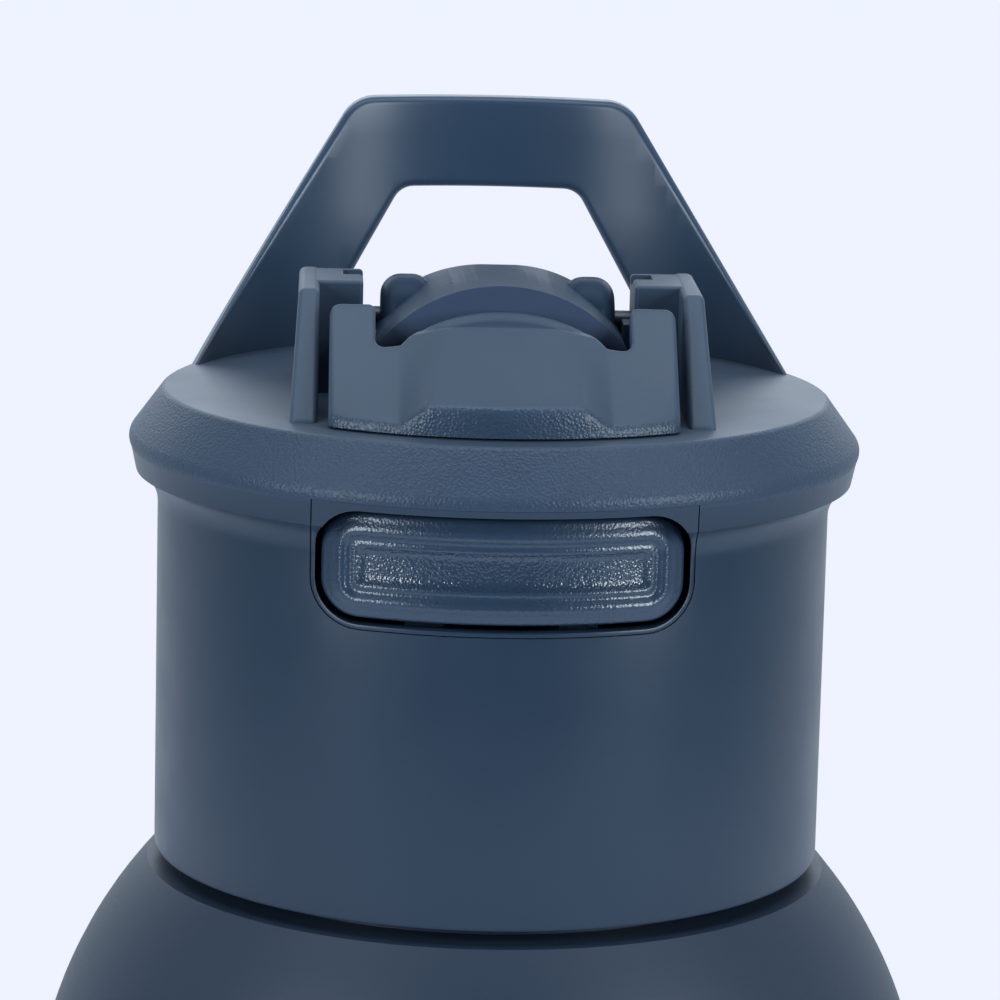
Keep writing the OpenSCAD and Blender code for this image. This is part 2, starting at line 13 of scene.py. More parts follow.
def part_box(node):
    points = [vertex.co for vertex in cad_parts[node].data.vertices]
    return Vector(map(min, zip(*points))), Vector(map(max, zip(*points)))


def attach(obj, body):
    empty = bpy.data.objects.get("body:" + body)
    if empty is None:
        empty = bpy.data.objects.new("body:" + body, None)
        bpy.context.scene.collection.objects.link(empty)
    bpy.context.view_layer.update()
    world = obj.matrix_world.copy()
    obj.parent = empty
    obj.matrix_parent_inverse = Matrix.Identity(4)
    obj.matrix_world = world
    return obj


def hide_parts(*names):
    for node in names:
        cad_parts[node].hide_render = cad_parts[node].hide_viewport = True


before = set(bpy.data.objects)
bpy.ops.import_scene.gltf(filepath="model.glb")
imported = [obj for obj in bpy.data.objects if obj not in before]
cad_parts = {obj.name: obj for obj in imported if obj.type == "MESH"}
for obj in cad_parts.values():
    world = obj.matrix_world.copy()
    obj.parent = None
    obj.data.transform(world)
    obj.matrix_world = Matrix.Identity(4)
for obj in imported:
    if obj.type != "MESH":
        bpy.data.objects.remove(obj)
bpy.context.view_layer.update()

MM = 0.001
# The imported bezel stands 37.60 above the lid's foot, so with this value the new pieces sit 0.07 low.
BEZEL_FOOT = 37.67
LID_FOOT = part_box("button_bezel")[0].z / MM - BEZEL_FOOT
DECK = 61.2
FLARE_DROP = 6.6
FLARE = DECK - FLARE_DROP
SKIRT_R = 44.0
FLARE_R = 47.8
BORE_R = 41.6
WALL = 2.4
BAND_ANGLE = math.radians(36.4)
BUTTON_Z = DECK - 15.6
BUTTON_W = 44.9
BUTTON_H = 13.4
BUTTON_CORNER = 4.6
BUTTON_BACK = 2.65
FLOOR_DEPTH = 0.75
CORNER_STEPS = 12
TOOL_FRONT = -50
GAP = 0.8
BEZEL_W = 0.5
SEAM = 0.14
TOP_SEAM = 0.03
PIVOT = (1.48, DECK + 8.8)
KNUCKLE_R = 7.3
LIP_R = 39.2
COVER_HALF = 21.9
HOOD_FRONT = -17.82
HOOD_TOP = DECK + 16.1
HOOD_HALF = 15.8
HOOD_R = 20.0
EAR_IN = 23.2
EAR_T = 3.6
EAR_TOP = DECK + 14.8
SPOUT_Y = PIVOT[0] - 8.7
LIP_RISE = 1.35
PLATE_RISE = 12.5
PLATE_T = 3.6
TURN = 2 * math.pi
DAYLIGHT = (0.80, 0.90, 1.0)


# ---------------------------------------------------------------- modelling tools
def place(x, y, z):
    """A point given in millimetres from the lid's foot, in metres in the frame of the part."""
    return Vector((x, y, z + LID_FOOT)) * MM


def only(obj):
    """Select one object and nothing else."""
    bpy.ops.object.select_all(action="DESELECT")
    obj.select_set(True)
    bpy.context.view_layer.objects.active = obj


def edit(obj):
    """Open one mesh in edit mode, to select by vertices."""
    only(obj)
    bpy.ops.object.mode_set(mode="EDIT")
    bpy.ops.mesh.select_mode(type="VERT")


def done():
    bpy.ops.object.mode_set(mode="OBJECT")


def pick(obj, test):
    """In edit mode, select just the vertices that pass a test."""
    bpy.ops.mesh.select_all(action="DESELECT")
    shape = bmesh.from_edit_mesh(obj.data)
    for vertex in shape.verts:
        vertex.select_set(bool(test(vertex)))
    shape.select_flush_mode()
    bmesh.update_edit_mesh(obj.data)


def bake(obj):
    """Move an object's place and size into its mesh."""
    only(obj)
    bpy.ops.object.transform_apply(location=True, rotation=True, scale=True)
    return obj


def arc(cx, cy, r, start, end, steps=8):
    """Points on an arc, in degrees."""
    angles = [math.radians(start + (end - start) * i / steps) for i in range(steps + 1)]
    return [(cx + r * math.cos(a), cy + r * math.sin(a)) for a in angles]


def draw(name, points):
    """A chain of edges drawn vertex by vertex; a plane merged to its middle is the first vertex."""
    bpy.ops.object.select_all(action="DESELECT")
    bpy.ops.mesh.primitive_plane_add(size=MM, location=(0, 0, 0))
    obj = bpy.context.object
    obj.name = name
    edit(obj)
    bpy.ops.mesh.select_all(action="SELECT")
    bpy.ops.mesh.merge(type="CENTER")
    bpy.ops.transform.translate(value=points[0])
    for last, point in zip(points, points[1:]):
        bpy.ops.mesh.extrude_vertices_move(TRANSFORM_OT_translate={"value": point - last})
    return obj


def outline_block(name, points, way, depth):
    """A closed outline filled and pushed along a direction, in edit mode when it returns."""
    obj = draw(name, points)
    bpy.ops.mesh.select_all(action="SELECT")
    bpy.ops.mesh.edge_face_add()
    bpy.ops.mesh.extrude_region_move(TRANSFORM_OT_translate={"value": Vector(way) * depth * MM})
    bpy.ops.mesh.select_all(action="SELECT")
    bpy.ops.mesh.normals_make_consistent(inside=False)
    return obj


def turned(name, profile, steps=256):
    """A closed or axis-to-axis profile of (radius, height) spun once round the lid's axis."""
    obj = draw(name, [place(r, 0, z) for r, z in profile])
    if profile[0][0] > 0 or profile[-1][0] > 0:
        bpy.ops.mesh.select_all(action="SELECT")
        bpy.ops.mesh.edge_face_add()
        bpy.ops.mesh.delete(type="ONLY_FACE")
    bpy.ops.mesh.select_all(action="SELECT")
    bpy.ops.mesh.spin(steps=steps, angle=TURN, center=(0, 0, 0), axis=(0, 0, 1))
    bpy.ops.mesh.select_all(action="SELECT")
    bpy.ops.mesh.remove_doubles(threshold=0.01 * MM)
    bpy.ops.mesh.normals_make_consistent(inside=False)
    done()
    return obj


def rod(name, r, low, high, x, y, sides):
    """An upright cylinder."""
    bpy.ops.object.select_all(action="DESELECT")
    bpy.ops.mesh.primitive_cylinder_add(vertices=sides, radius=r * MM, depth=(high - low) * MM,
                                        location=place(x, y, (low + high) / 2))
    obj = bpy.context.object
    obj.name = name
    return bake(obj)


def side_rod(name, r, x0, x1, y, z, sides):
    """A cylinder that lies along X."""
    bpy.ops.object.select_all(action="DESELECT")
    bpy.ops.mesh.primitive_cylinder_add(vertices=sides, radius=r * MM, depth=(x1 - x0) * MM,
                                        location=place((x0 + x1) / 2, y, z),
                                        rotation=(0, math.pi / 2, 0))
    obj = bpy.context.object
    obj.name = name
    return bake(obj)


def box_between(name, low, high):
    """A box from one corner to the other."""
    a, b = place(*low), place(*high)
    bpy.ops.object.select_all(action="DESELECT")
    bpy.ops.mesh.primitive_cube_add(size=1, location=(a + b) / 2)
    obj = bpy.context.object
    obj.name = name
    obj.scale = b - a
    return bake(obj)


def cut(obj, tool, how="DIFFERENCE"):
    """Apply one boolean and remove its tool."""
    only(obj)
    step = obj.modifiers.new("cut", "BOOLEAN")
    step.object = tool
    step.operation = how
    step.solver = "EXACT"
    bpy.ops.object.modifier_apply(modifier=step.name)
    bpy.data.objects.remove(tool)
    return obj


def soften(obj, width, segments, angle=35.0):
    """Round the edges that are sharper than an angle, and apply it."""
    only(obj)
    step = obj.modifiers.new("round", "BEVEL")
    step.width = width * MM
    step.segments = segments
    step.limit_method = "ANGLE"
    step.angle_limit = math.radians(angle)
    step.miter_outer = "MITER_ARC"
    step.use_clamp_overlap = True
    bpy.ops.object.modifier_apply(modifier=step.name)
    return obj


def smooth(obj, angle, weigh=False):
    """Merge strays, shade smooth up to an angle, and let the larger faces lead the shading if asked."""
    edit(obj)
    bpy.ops.mesh.select_all(action="SELECT")
    bpy.ops.mesh.remove_doubles(threshold=0.002 * MM)
    bpy.ops.mesh.dissolve_degenerate(threshold=0.002 * MM)
    bpy.ops.mesh.select_all(action="SELECT")
    bpy.ops.mesh.normals_make_consistent(inside=False)
    done()
    only(obj)
    bpy.ops.object.shade_smooth_by_angle(angle=math.radians(angle))
    if weigh:
        step = obj.modifiers.new("weigh", "WEIGHTED_NORMAL")
        step.keep_sharp = True
        bpy.ops.object.modifier_apply(modifier=step.name)
    return obj


def mirror_copy(obj, name):
    """A second piece on the other side, with its own mesh."""
    twin = obj.copy()
    twin.data = obj.data.copy()
    twin.name = name
    bpy.context.scene.collection.objects.link(twin)
    twin.data.transform(Matrix.Scale(-1, 4, (1, 0, 0)))
    edit(twin)
    bpy.ops.mesh.select_all(action="SELECT")
    bpy.ops.mesh.normals_make_consistent(inside=False)
    done()
    return twin


def join(piece, *others):
    """Make other pieces part of one piece."""
    only(piece)
    for other in others:
        other.select_set(True)
    bpy.ops.object.join()


def spaced(first, step, count):
    """Evenly spaced values."""
    return [first + step * i for i in range(count)]


def slices(places, normal):
    """Cut all of the mesh in edit mode by parallel planes."""
    for point in places:
        bpy.ops.mesh.select_all(action="SELECT")
        bpy.ops.mesh.bisect(plane_co=point, plane_no=normal)


# ---------------------------------------------------------------- materials
def noise(tree, coordinates, scale, detail=2.0, rough=0.5):
    node = tree.nodes.new("ShaderNodeTexNoise")
    node.inputs["Scale"].default_value = scale
    node.inputs["Detail"].default_value = detail
    node.inputs["Roughness"].default_value = rough
    tree.links.new(coordinates, node.inputs["Vector"])
    return node.outputs["Fac"]


def ramp(tree, value, low, high, first, last):
    """Spread a range of a value between two numbers."""
    node = tree.nodes.new("ShaderNodeMapRange")
    tree.links.new(value, node.inputs["Value"])
    for name, number in (("From Min", low), ("From Max", high), ("To Min", first), ("To Max", last)):
        node.inputs[name].default_value = number
    return node.outputs["Result"]


def tint(tree, value, dark, light):
    node = tree.nodes.new("ShaderNodeMix")
    node.data_type = "RGBA"
    tree.links.new(value, node.inputs["Factor"])
    node.inputs["A"].default_value = (*dark, 1)
    node.inputs["B"].default_value = (*light, 1)
    return node.outputs["Result"]


def bump(tree, height, strength, depth, onto=None):
    node = tree.nodes.new("ShaderNodeBump")
    node.inputs["Strength"].default_value = strength
    node.inputs["Distance"].default_value = depth * MM
    tree.links.new(height, node.inputs["Height"])
    if onto is not None:
        tree.links.new(onto, node.inputs["Normal"])
    return node.outputs["Normal"]


def blank(name):
    """A material with its shader, and Object coordinates."""
    material = bpy.data.materials.new(name)
    material.use_nodes = True
    tree = material.node_tree
    shader = tree.nodes["Principled BSDF"]
    coordinates = tree.nodes.new("ShaderNodeTexCoord").outputs["Object"]
    return material, tree, shader, coordinates


def moulded(name, colour, rough, grain=0.0, grain_size=0.55, fine=0.2, spread=0.12, specular=0.5):
    """Moulded plastic: a leathery grain of pebbles over a fine matte texture."""
    material, tree, shader, at = blank(name)
    dark = tuple(c * (1 - spread) for c in colour)
    light = tuple(c * (1 + spread) for c in colour)
    cloud = noise(tree, at, 90, 3)
    tree.links.new(tint(tree, cloud, dark, light), shader.inputs["Base Color"])
    fine_noise = noise(tree, at, 6500, 2, 0.6)
    tree.links.new(ramp(tree, cloud, 0.3, 0.7, rough - 0.03, rough + 0.03), shader.inputs["Roughness"])
    normal = bump(tree, fine_noise, fine, 0.02)
    if grain:
        cells = tree.nodes.new("ShaderNodeTexVoronoi")
        cells.feature = "SMOOTH_F1"
        cells.inputs["Scale"].default_value = 1 / (grain_size * MM)
        cells.inputs["Smoothness"].default_value = 0.35
        tree.links.new(at, cells.inputs["Vector"])
        pebble = ramp(tree, cells.outputs["Distance"], 0.05, 0.75, 1.0, 0.0)
        wander = noise(tree, at, 0.5 / (grain_size * MM), 3, 0.6)
        both = tree.nodes.new("ShaderNodeMath")
        both.operation = "ADD"
        tree.links.new(pebble, both.inputs[0])
        tree.links.new(wander, both.inputs[1])
        normal = bump(tree, both.outputs["Value"], grain, 0.09, normal)
    tree.links.new(normal, shader.inputs["Normal"])
    shader.inputs["Specular IOR Level"].default_value = specular
    return material


def powder_coat(name, colour):
    """Powder coat on steel: a soft satin skin with a shallow orange peel."""
    material, tree, shader, at = blank(name)
    peel = noise(tree, at, 900, 2, 0.5)
    fine = noise(tree, at, 4200, 2, 0.6)
    cloud = noise(tree, at, 30, 2)
    tree.links.new(tint(tree, cloud, tuple(c * 0.96 for c in colour), tuple(c * 1.04 for c in colour)),
                   shader.inputs["Base Color"])
    tree.links.new(ramp(tree, fine, 0.3, 0.7, 0.44, 0.52), shader.inputs["Roughness"])
    tree.links.new(bump(tree, fine, 0.22, 0.02, bump(tree, peel, 0.12, 0.05)), shader.inputs["Normal"])
    return material


def brushed_steel(name, colour=(0.56, 0.57, 0.58), rough=0.28):
    """Spun stainless steel with fine rings round the axis."""
    material, tree, shader, at = blank(name)
    stretch = tree.nodes.new("ShaderNodeMapping")
    stretch.inputs["Scale"].default_value = (1, 1, 60)
    tree.links.new(at, stretch.inputs["Vector"])
    rings = noise(tree, stretch.outputs["Vector"], 60, 4, 0.65)
    tree.links.new(tint(tree, rings, tuple(c * 0.85 for c in colour), colour), shader.inputs["Base Color"])
    tree.links.new(ramp(tree, rings, 0.3, 0.7, rough - 0.06, rough + 0.08), shader.inputs["Roughness"])
    tree.links.new(bump(tree, rings, 0.15, 0.02), shader.inputs["Normal"])
    shader.inputs["Metallic"].default_value = 1
    return material


def rubber(name, colour, rough=0.6):
    """Silicone: soft and dull."""
    material, tree, shader, at = blank(name)
    cloud = noise(tree, at, 300, 3)
    tree.links.new(tint(tree, cloud, tuple(c * 0.9 for c in colour), colour), shader.inputs["Base Color"])
    tree.links.new(bump(tree, noise(tree, at, 3500, 2), 0.15, 0.02), shader.inputs["Normal"])
    tree.links.new(ramp(tree, cloud, 0.3, 0.7, rough - 0.05, rough + 0.05), shader.inputs["Roughness"])
    return material


def clear_plastic(name):
    """Milky straw plastic."""
    material, tree, shader, at = blank(name)
    cloud = noise(tree, at, 200, 2)
    tree.links.new(tint(tree, cloud, (0.66, 0.70, 0.74), (0.74, 0.78, 0.82)), shader.inputs["Base Color"])
    tree.links.new(bump(tree, noise(tree, at, 2500, 2), 0.08, 0.02), shader.inputs["Normal"])
    tree.links.new(ramp(tree, cloud, 0.3, 0.7, 0.3, 0.36), shader.inputs["Roughness"])
    shader.inputs["Transmission Weight"].default_value = 0.35
    return material


NAVY = (0.019, 0.040, 0.071)
satin = moulded("satin_navy", NAVY, 0.36, fine=0.12, spread=0.04)
grained = moulded("grained_navy", (0.028, 0.054, 0.095), 0.46, grain=0.6, grain_size=0.36)
# matte_slate_painted_light: the real matte finish (roughness, fine grain) in a lighter copy of the navy
# plastic; the extra lightness is painted light standing in for sheen
matte = moulded("matte_slate_painted_light", (0.042, 0.070, 0.112), 0.50, grain=0.10, grain_size=0.36, fine=0.3)
# deck: its fine grain and roughness are the real finish; its colour, lighter than the skirt's, is painted light
# on the upward faces
deck_grain_painted_light = moulded("deck_slate_painted_light", (0.048, 0.074, 0.112), 0.44, grain=0.10, grain_size=0.36, fine=0.25)
plate_skin = moulded("plate_slate", (0.034, 0.060, 0.098), 0.42, grain=0.14, grain_size=0.36, fine=0.3)
lip_skin = moulded("lip_slate", (0.032, 0.060, 0.100), 0.38, grain=0.6, grain_size=0.36)
glossy = moulded("glossy_navy", (0.030, 0.052, 0.086), 0.30, fine=0.02, spread=0.03, specular=0.06)
# hood front: a lighter, shinier copy of the hood's glossy plastic, painted light for the band on its front face
hood_front_painted_light = moulded("hood_front_navy_painted_light", (0.052, 0.078, 0.136), 0.42, fine=0.05, spread=0.03, specular=0.4)
handle_skin = moulded("handle_navy", (0.031, 0.060, 0.104), 0.34, fine=0.12, spread=0.04)
button_skin = moulded("button_navy", (0.025, 0.051, 0.090), 0.29, grain=0.3, grain_size=0.34, specular=0.75)
thumb_skin = moulded("thumb_grain", (0.024, 0.048, 0.084), 0.25, grain=0.65, grain_size=0.36, specular=0.95)
body_skin = powder_coat("body_powder_coat", (0.018, 0.035, 0.062))
steel = brushed_steel("spun_steel")
spring_steel = brushed_steel("spring_steel", (0.45, 0.46, 0.47), 0.22)
seal_rubber = rubber("navy_silicone", (0.040, 0.056, 0.082))
inner_plastic = moulded("inner_slate", (0.030, 0.050, 0.080), 0.45, fine=0.2, spread=0.05)
pin_steel = brushed_steel("pin_steel", (0.10, 0.11, 0.125), 0.40)
spout_plastic = moulded("spout_slate", (0.20, 0.24, 0.30), 0.38, fine=0.12, spread=0.04)
straw_plastic = clear_plastic("straw_milky")


def wear(obj, *materials):
    obj.data.materials.clear()
    for material in materials:
        obj.data.materials.append(material)


def paint(obj, index, test):
    """Give the faces that pass a test another of the piece's materials."""
    for face in obj.data.polygons:
        c = face.center / MM
        if test(Vector((c.x, c.y, c.z - LID_FOOT)), face.normal):
            face.material_index = index


# ---------------------------------------------------------------- lid
def lid_profile(end_r):
    """Outer line of the lid from the skirt's foot over the rim and along the deck, in to the radius end_r."""
    rim, crease = 2, 1.1
    band_drop = FLARE_DROP - rim * math.sin(BAND_ANGLE)
    deck_r = FLARE_R - rim + rim * math.cos(BAND_ANGLE) - band_drop * math.tan(BAND_ANGLE)
    corner_r = deck_r - crease * math.tan(math.radians(90 - math.degrees(BAND_ANGLE)) / 2)
    return ([(SKIRT_R - 0.6, 0), (SKIRT_R - 0.18, 0.18), (SKIRT_R, 0.6)]
            + arc(SKIRT_R + 5, FLARE - 8.6, 5, 180, 115, 14)
            + arc(FLARE_R - rim, FLARE, rim, -30, math.degrees(BAND_ANGLE), 12)
            + arc(corner_r, DECK - crease, crease, math.degrees(BAND_ANGLE), 90, 8)
            + [(end_r, DECK)])


def window(name, grow, depth):
    """Solid that cuts the bezel's window, rounded below and square above."""
    half = BUTTON_W / 2 + GAP + BEZEL_W + grow
    low = BUTTON_Z - BUTTON_H / 2 - GAP - BEZEL_W - grow
    top = FLARE - 0.6 + min(grow, TOP_SEAM)
    r = BUTTON_CORNER + GAP + BEZEL_W + grow
    line = arc(half - r, low + r, r, -90, 0, CORNER_STEPS) + [(half, top), (-half, top)]
    line += arc(-half + r, low + r, r, 180, 270, CORNER_STEPS)
    tool = outline_block(name, [place(x, TOOL_FRONT, z) for x, z in line], (0, 1, 0), depth)
    done()
    return tool


def rounded(w, h, r, steps=10):
    """Points of a rounded rectangle about the middle, anticlockwise from the right."""
    x, z = w / 2 - r, h / 2 - r
    return (arc(x, z, r, 0, 90, steps) + arc(-x, z, r, 90, 180, steps)
            + arc(-x, -z, r, 180, 270, steps) + arc(x, -z, r, 270, 360, steps))


def button_hole(name):
    """Solid that cuts the button's hole in the bezel."""
    line = rounded(BUTTON_W + 2 * GAP, BUTTON_H + 2 * GAP, BUTTON_CORNER + GAP)
    tool = outline_block(name, [place(x, TOOL_FRONT, z + BUTTON_Z) for x, z in line], (0, 1, 0), 30)
    done()
    return tool


def lid_skirt():
    """Skirt, cove, flared rim and deck, turned in one, with the window and the deck's openings cut."""
    middle_r = 8.0
    bore = [(middle_r, DECK - WALL), (BORE_R, DECK - WALL), (BORE_R, 0.4), (BORE_R + 0.4, 0)]
    ring = turned("lid_skirt", lid_profile(middle_r) + bore)
    middle = [(0, DECK), (middle_r, DECK), (middle_r, DECK - WALL), (0, DECK - WALL)]
    plug = turned("deck_middle", middle, 64)
    cut(ring, plug, "UNION")
    cut(ring, window("window_tool", SEAM, 30))
    cut(ring, rod("spout_tool", 4.6, DECK - 4, DECK + 1, 0, SPOUT_Y, 64))
    cut(ring, box_between("catch_tool", (-5, -36.3, DECK - 4), (5, -25.9, DECK + 1)))
    smooth(ring, 28)
    wear(ring, satin, grained, deck_grain_painted_light)
    paint(ring, 1, lambda c, n: c.z > FLARE - 1.2 and n.z < 0.93 and c.xy.length > 42.5)
    # the upward deck faces take the lighter deck material: painted light
    paint(ring, 2, lambda c, n: c.z > DECK - 0.5 and n.z > 0.93)
    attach(ring, "lid")
    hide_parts("lid_shell")


def ear(name):
    """One hinge ear: its side outline pushed out, its outer face drafted, with the pin's boss and a web."""
    foot = 1.2 - math.sqrt(LIP_R ** 2 - (EAR_IN + EAR_T / 2) ** 2)
    back = PIVOT[0] + 8.1
    bury = DECK - 1.6
    line = [(back, bury), (foot, bury), (foot, DECK)]
    line += arc(foot + (EAR_TOP - DECK) + 1, EAR_TOP - 1.6, 1.6, 135, 90, 5)
    line += arc(back - 4, EAR_TOP - 4, 4, 90, 0, 8)
    block = outline_block(name, [place(EAR_IN, y, z) for y, z in line], (1, 0, 0), EAR_T)
    pick(block, lambda v: v.co.x > (EAR_IN + 1) * MM and v.co.z > place(0, 0, DECK + 8).z)
    bpy.ops.transform.translate(value=(-0.9 * MM, 0, 0))
    done()
    soften(block, 0.8, 5, 30)
    boss_in, boss_front, boss_back = HOOD_HALF + 1.8, PIVOT[0] - 7.5, back - 4
    boss = box_between("boss", (boss_in, boss_front, bury), (EAR_IN + 1, boss_back, EAR_TOP - 0.05))
    cut(block, soften(boss, 0.5, 4), "UNION")
    web = box_between("web", (HOOD_HALF + 0.4, boss_front + 1.5, bury),
                      (boss_in + 0.6, boss_back - 0.5, DECK + 9.5))
    cut(block, soften(web, 0.3, 2), "UNION")
    slot = box_between("slot", (boss_in - 1, boss_front + 6, EAR_TOP - 1.2),
                       (boss_in + 2.6, boss_front + 10, EAR_TOP + 1))
    cut(block, slot)
    cut(block, side_rod("pin_hole", 1.5, boss_in - 3, EAR_IN + EAR_T - 1.2, *PIVOT, 48))
    smooth(block, 40, weigh=True)
    # the ears wear the lighter matte copy: painted light on their faces
    wear(block, matte)
    return block


def hinge_ears():
    """The two ears, one a mirror of the other."""
    right = ear("hinge_ear_right")
    left = mirror_copy(right, "hinge_ear_left")
    for piece in (right, left):
        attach(piece, "lid")
        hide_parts("lid_shell")
        smooth(piece, 40, weigh=True)


def carry_handle():
    """Carry handle: a flat trapezoid with its opening, rounded, then curved to the rim."""
    thick, set_in = 4.4, 1.4
    root, top, bar = FLARE + 2.2, DECK + 33.8, 12.5
    top_x = 17.5
    gap_lean, gap_x, gap_top = 0.56, 12.2, top - bar
    foot_x, gap_foot = 41.2, gap_x + gap_lean * (gap_top - root)
    outer = [(-foot_x, root), (-foot_x, root + 2.2)]
    outer += arc(-(top_x - 1.4), top - 5, 5, 146, 90, 8)
    outer += arc(top_x - 1.4, top - 5, 5, 90, 34, 8) + [(foot_x, root + 2.2), (foot_x, root)]
    inner = [(gap_foot, root)] + arc(gap_x - 1.75, gap_top - 3, 3, 29, 90, 6)
    inner += arc(1.75 - gap_x, gap_top - 3, 3, 90, 151, 6) + [(-gap_foot, root)]
    handle = outline_block("carry_handle_wall", [place(x, 0, z) for x, z in outer + inner], (0, 1, 0), thick)
    done()
    soften(handle, 1.6, 6, 30)
    edit(handle)
    step = 1.5
    count = int(2 * foot_x / step)
    slices([place(-foot_x + step * (i + 0.5), 0, 0) for i in range(count)], (1, 0, 0))
    slices([place(0, 0, root + 3 * i) for i in range(1, 12)], (0, 0, 1))
    done()
    inside, outside = FLARE_R - set_in - thick, FLARE_R - set_in
    for vertex in handle.data.vertices:
        x, share = vertex.co.x / MM, vertex.co.y / MM / thick
        y0, y1 = math.sqrt(inside ** 2 - x * x), math.sqrt(outside ** 2 - x * x)
        vertex.co.y = (y0 + (y1 - y0) * share) * MM
    smooth(handle, 75)
    wear(handle, handle_skin)
    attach(handle, "lid")
    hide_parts("carry_handle")


def bezel():
    """Surround of the button, cut out of a turned solid with the skirt's own outline."""
    line = [(BORE_R, 30), (SKIRT_R, 30)] + lid_profile(BORE_R)[3:]
    ring = turned("button_surround", line)
    cut(ring, window("window_core", 0, 40), "INTERSECT")
    cut(ring, button_hole("hole_tool"))
    soften(ring, 0.13, 2, 40)
    smooth(ring, 32)
    wear(ring, satin)
    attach(ring, "lid")
    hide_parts("button_bezel")


def loft(name, rings):
    """A grid whose rows are laid on closed rings of points, its seam welded and its two ends capped."""
    across, along = len(rings[0]), len(rings)
    bpy.ops.object.select_all(action="DESELECT")
    bpy.ops.mesh.primitive_grid_add(x_subdivisions=across, y_subdivisions=along - 1, size=MM)
    obj = bpy.context.object
    obj.name = name
    rows = sorted(obj.data.vertices, key=lambda v: (round(v.co.y / MM, 5), v.co.x))
    for i, vertex in enumerate(rows):
        row, column = divmod(i, across + 1)
        vertex.co = rings[row][column % across]
    edit(obj)
    bpy.ops.mesh.select_all(action="SELECT")
    bpy.ops.mesh.remove_doubles(threshold=0.001 * MM)
    done()
    return obj


def push_button():
    """Button: side wall, rounded edge, raised bead, and the sunken thumb floor with its grain."""
    profile = [(0, -BUTTON_BACK), (0, -0.9), (0.15, -0.4), (0.4, -0.2), (0.7, -0.1), (1.0, -0.04),
               (1.35, 0.1), (1.7, 0.34), (2.0, 0.46), (2.3, 0.5), (2.6, 0.44), (2.9, 0.22),
               (3.2, -0.04), (3.5, -0.14), (3.75, -0.08), (4.0, 0.0), (4.25, -0.06), (4.5, -0.3),
               (4.8, -0.55), (5.1, -0.68), (5.3, -0.73), (5.5, -FLOOR_DEPTH)]
    rings = []
    for inset, rise in profile:
        corner = max(BUTTON_CORNER - inset, 1.0)
        ring = []
        for x, z in dense(rounded(BUTTON_W - 2 * inset, BUTTON_H - 2 * inset, corner, CORNER_STEPS)):
            r = SKIRT_R + rise
            ring.append(place(x, -math.sqrt(r * r - x * x), z + BUTTON_Z))
        rings.append(ring)
    button = loft("push_button_cap", rings)
    edit(button)
    for depth, inset in ((BUTTON_BACK, -1), (FLOOR_DEPTH, 5.4)):
        r = SKIRT_R - depth
        pick(button, lambda v: abs(math.hypot(v.co.x, v.co.y) / MM - r) < 0.05
             and abs(v.co.x / MM) < BUTTON_W / 2 - inset
             and abs((v.co.z / MM - LID_FOOT) - BUTTON_Z) < BUTTON_H / 2 - inset)
        bpy.ops.mesh.edge_face_add()
    done()
    floor_slices(button)
    smooth(button, 38)
    wear(button, button_skin, thumb_skin, matte)
    paint(button, 1, lambda c, n: SKIRT_R - 0.9 < math.hypot(c.x, c.y) < SKIRT_R - 0.1
          and abs(c.x) < BUTTON_W / 2 - 4 and abs(c.z - BUTTON_Z) < BUTTON_H / 2 - 4)
    stems = []
    for x in (-6.8, 6.8):
        stems.append(box_between("stem", (x - 2, -41.4, BUTTON_Z - 3), (x + 2, -37, BUTTON_Z + 3)))
    for stem in stems:
        wear(stem, matte)
        soften(stem, 0.2, 2)
    join(button, *stems)
    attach(button, "button")
    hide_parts("push_button")


def dense(line):
    """A rounded rectangle with each long side parted into 44 and each short one into 12."""
    corner_points = CORNER_STEPS + 1
    points = []
    for i, (x, z) in enumerate(line):
        nx, nz = line[(i + 1) % len(line)]
        on_corner = (i + 1) % corner_points != 0
        is_long = i // corner_points in (0, 2)
        parts = 1 if on_corner else (44 if is_long else 12)
        for k in range(parts):
            points.append((x + (nx - x) * k / parts, z + (nz - z) * k / parts))
    return points


def floor_slices(button):
    """Slice the button, then lay the new points of its floor on the curve."""
    edit(button)
    slices([place(x, 0, 0) for x in spaced(-21, 0.75, 57)], (1, 0, 0))
    done()
    for vertex in button.data.vertices:
        x, y = vertex.co.x / MM, vertex.co.y / MM
        z = vertex.co.z / MM - LID_FOOT - BUTTON_Z
        inside_floor = abs(x) < BUTTON_W / 2 - 5.3 and abs(z) < BUTTON_H / 2 - 5.3
        if inside_floor and math.hypot(x, y) > SKIRT_R - 2:
            r = SKIRT_R - FLOOR_DEPTH
            vertex.co.y = -math.sqrt(r * r - x * x) * MM


# ---------------------------------------------------------------- cover
def soft_least(a, b, k):
    """The lesser of two heights, with the corner between them rounded."""
    h = max(k - abs(a - b), 0) / k
    return min(a, b) - h * h * k / 4


def plate_height(x, y):
    """Top of the plate: straight from the lip's top edge, on its arc, up to the hood."""
    lip_y = -math.sqrt(LIP_R ** 2 - x * x)
    share = (y - lip_y) / (HOOD_FRONT - lip_y)
    return DECK + LIP_RISE + share * PLATE_RISE


def tongue_rise(x, y):
    """How far the thumb tongue stands above the plate."""
    end_y, nose_half, end_half, foot_half = -23.7, 10.0, 7.3, 13.1
    along = min(max((y + LIP_R) / (end_y + LIP_R), 0), 1)
    half = nose_half + (end_half - nose_half) * along
    lift = 2.5 - 1.2 * along
    run = 2.8 - 1.4 * min(abs(x) / end_half, 1) ** 2
    lift *= max(1 - max(y - end_y, 0) / run, 0)
    across = (foot_half - abs(x)) / (foot_half - half)
    across = -soft_least(-soft_least(across, 1, 0.1), 0, 0.1)
    return lift * across


